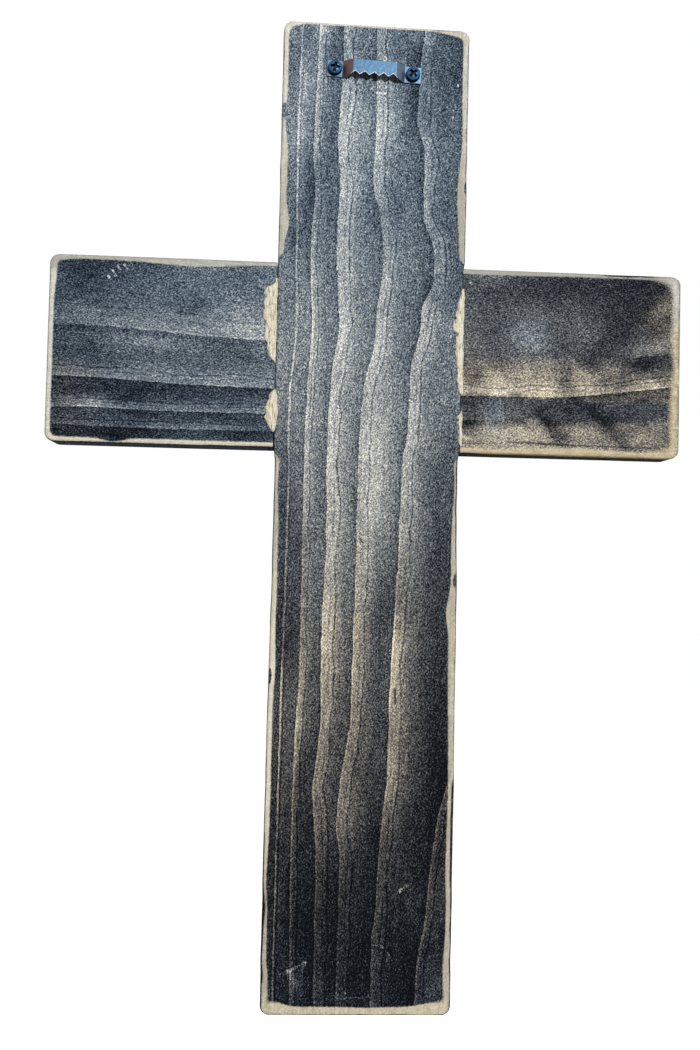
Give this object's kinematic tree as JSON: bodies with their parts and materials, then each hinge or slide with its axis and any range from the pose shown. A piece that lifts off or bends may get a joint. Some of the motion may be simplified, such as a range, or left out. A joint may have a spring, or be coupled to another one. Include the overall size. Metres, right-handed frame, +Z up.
{
  "type": "wooden wall cross",
  "caption": "Rustic Latin cross of half-lapped pine boards, stained black with edges sanded pale, and a sawtooth hanger screwed to its back.",
  "frame": {"origin": "root of the hanger's middle notch, where a nail carries the cross, in the plane that touches the wall", "axes": "+Z up as it hangs, +Y out of the cross's back towards the wall, +X to the left when the back is looked at; the front faces -Y"},
  "size_m": [0.307, 0.0237, 0.4775],
  "materials": {
    "stained_pine": "thin black stain, sanded back to pale wood along the edges",
    "blued_steel": "blued sheet steel, satin",
    "blackened_screw": "blackened, satin"
  },
  "bodies": {
    "root": {"upright_board": "stained_pine", "crossbar": "stained_pine", "sawtooth_hanger": "blued_steel", "screw_left": "blackened_screw", "screw_right": "blackened_screw"}
  },
  "joints": []
}
